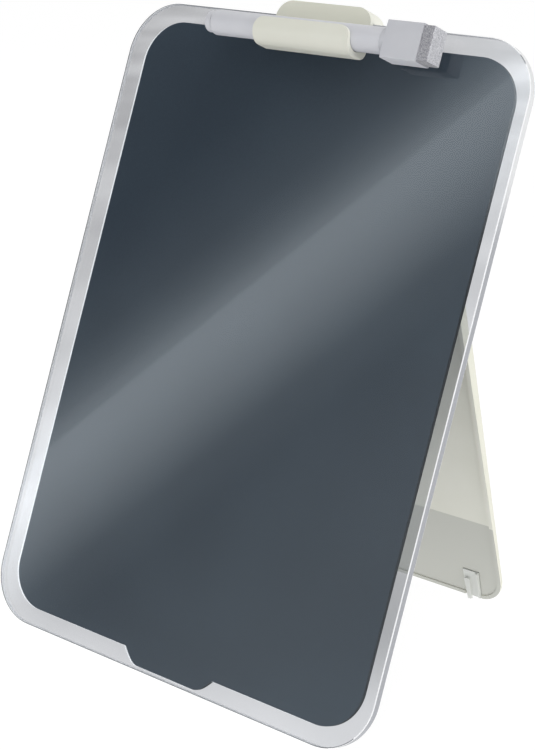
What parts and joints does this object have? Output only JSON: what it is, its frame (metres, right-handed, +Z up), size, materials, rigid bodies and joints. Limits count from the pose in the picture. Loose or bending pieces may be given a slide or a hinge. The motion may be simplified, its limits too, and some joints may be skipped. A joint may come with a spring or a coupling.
{
  "type": "desktop glass whiteboard",
  "caption": "Free-standing tabletop glass writing board with a fold-flat rear stand and a sliding holder on its top edge for a capped pen with an eraser end.",
  "frame": {"origin": "middle of the footprint at desk level, with the board standing open", "axes": "+X to the right along the writing face, +Y from the writing face towards the stand, +Z up"},
  "size_m": [0.22, 0.159, 0.2865],
  "materials": {
    "clear_glass": "polished clear sheet glass with a ground arris",
    "slate_film": "blue-grey tinted film behind glass",
    "slate_sheet": "dark blue-grey sheet with a fine grain",
    "ivory_moulding": "satin warm white moulded plastic",
    "clear_silicone": "milky clear soft silicone",
    "grey_rubber": "matt grey rubber",
    "foam_tape": "closed cell foam tape",
    "pin_steel": "drawn steel pin",
    "pen_grey": "satin light grey moulded plastic",
    "cap_grey": "satin light grey moulded plastic",
    "ink_fibre": "ink-soaked fibre",
    "felt_grey": "speckled pressed felt"
  },
  "bodies": {
    "board": {"glass_panel": "clear_glass", "bond_film": "slate_film", "backing_panel": "slate_sheet", "board_foot": "clear_silicone", "hinge_tape": "foam_tape", "hinge_bracket": "ivory_moulding"},
    "stand": {"stand_leg": "ivory_moulding", "hinge_pin_left": "pin_steel", "hinge_pin_right": "pin_steel", "stand_foot_left": "clear_silicone", "stand_foot_right": "clear_silicone"},
    "holder": {"pen_holder": "ivory_moulding", "holder_grip": "grey_rubber"},
    "pen": {"pen_barrel": "pen_grey", "pen_end_plug": "pen_grey", "ink_reservoir": "ink_fibre", "pen_nose": "pen_grey", "pen_nib": "ink_fibre"},
    "cap": {"pen_cap": "cap_grey", "cap_seal": "clear_silicone", "eraser_felt": "felt_grey"}
  },
  "joints": [
    {"name": "stand_fold", "type": "hinge", "parent": "board", "child": "stand", "pos_m": [0, 0.01879, 0.205], "axis": [1, 0, 0], "range_deg": [-40.14, 0]},
    {"name": "holder_slide", "type": "slide", "parent": "board", "child": "holder", "axis": [1, 0, 0], "range_m": [-0.055, 0.055]},
    {"name": "pen_lift", "type": "slide", "parent": "holder", "child": "pen", "axis": [0, 0.3907, 0.9205], "range_m": [0, 0.03]},
    {"name": "cap_pull", "type": "slide", "parent": "pen", "child": "cap", "axis": [1, 0, 0], "range_m": [0, 0.02]}
  ]
}
